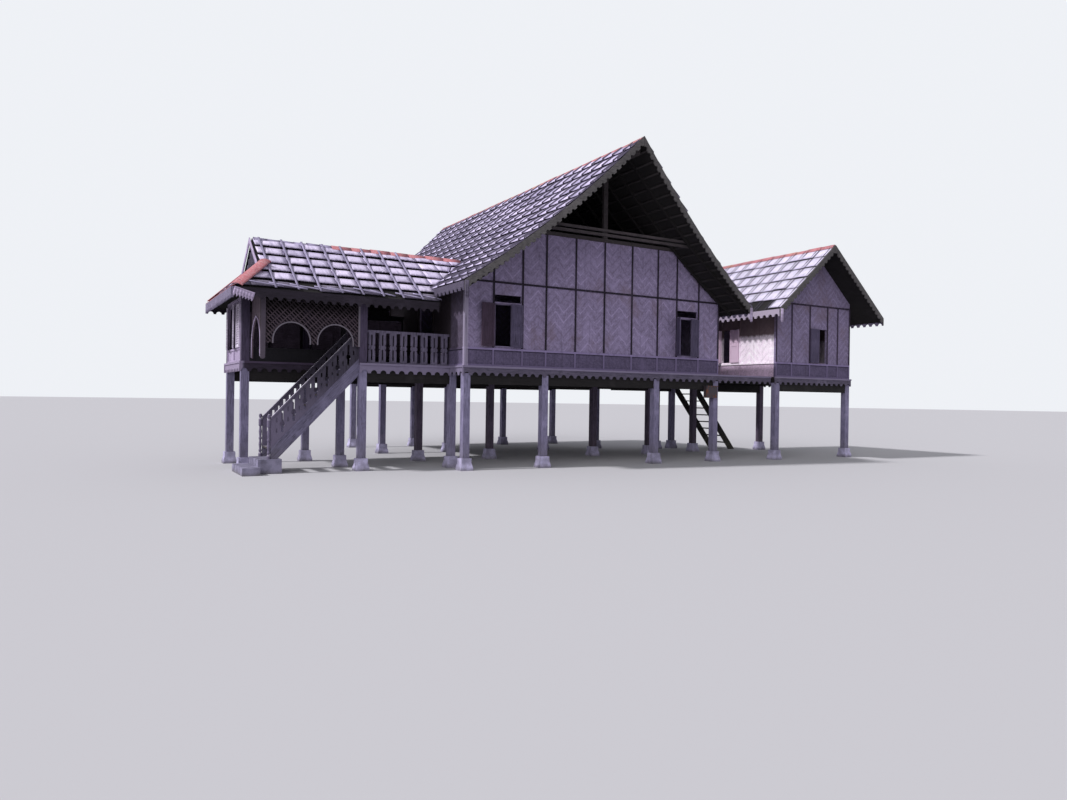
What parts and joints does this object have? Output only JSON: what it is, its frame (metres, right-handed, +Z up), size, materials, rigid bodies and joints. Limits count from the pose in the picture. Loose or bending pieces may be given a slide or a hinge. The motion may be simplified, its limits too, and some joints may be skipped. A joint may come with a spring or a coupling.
{
  "type": "stilt house",
  "caption": "Timber stilt house with a curved gable roof, an arched lattice porch over an open stair, and a small kitchen wing across a deck.",
  "frame": {"origin": "centre of the foot of the main house's front left pedestal, on the ground", "axes": "+X along the gable front towards the kitchen, +Y from the gable front to the back, +Z up"},
  "size_m": [18.2706, 11.5598, 7.7311],
  "materials": {
    "concrete": "weathered pale concrete",
    "post_timber": "weathered grey timber",
    "dark_timber": "old dark timber",
    "wall_panels": "woven panels between battens",
    "porch_boards": "weathered painted boards",
    "joinery": "weathered painted joinery",
    "pale_trim": "weathered grey trim boards",
    "roof_tiles": "weathered grey tiles",
    "ridge_tiles": "faded red caps",
    "box_metal": "rusty grey paint"
  },
  "bodies": {
    "root": {"pedestals": "concrete", "main_posts": "post_timber", "main_floor_frame": "dark_timber", "main_floor": "dark_timber", "front_wall": "wall_panels", "back_wall": "wall_panels", "left_wall": "wall_panels", "right_wall": "wall_panels", "gable_frames": "dark_timber", "window_shutters": "joinery", "main_roof_left": "roof_tiles", "main_roof_right": "roof_tiles", "ridge_caps": "ridge_tiles", "bargeboards": "pale_trim", "eave_boards": "pale_trim", "floor_trims": "pale_trim", "porch_posts": "post_timber", "porch_floor_frame": "dark_timber", "porch_floor": "dark_timber", "porch_end_wall": "porch_boards", "porch_back_wall": "porch_boards", "porch_dado": "dark_timber", "porch_shutters": "joinery", "arch_lattice": "pale_trim", "entrance_arch": "porch_boards", "porch_balustrade": "pale_trim", "porch_beams": "dark_timber", "porch_roof_front": "roof_tiles", "porch_roof_back": "roof_tiles", "porch_roof_end": "roof_tiles", "porch_gablet": "porch_boards", "stair_stringers": "post_timber", "stair_treads": "dark_timber", "stair_railings": "pale_trim", "stair_base": "concrete", "kitchen_posts": "post_timber", "kitchen_floor_frame": "dark_timber", "kitchen_floor": "dark_timber", "kitchen_gable_walls": "wall_panels", "kitchen_side_walls": "wall_panels", "kitchen_roof": "roof_tiles", "link_deck": "dark_timber", "rear_stair": "dark_timber", "meter_box": "box_metal"}
  },
  "joints": []
}
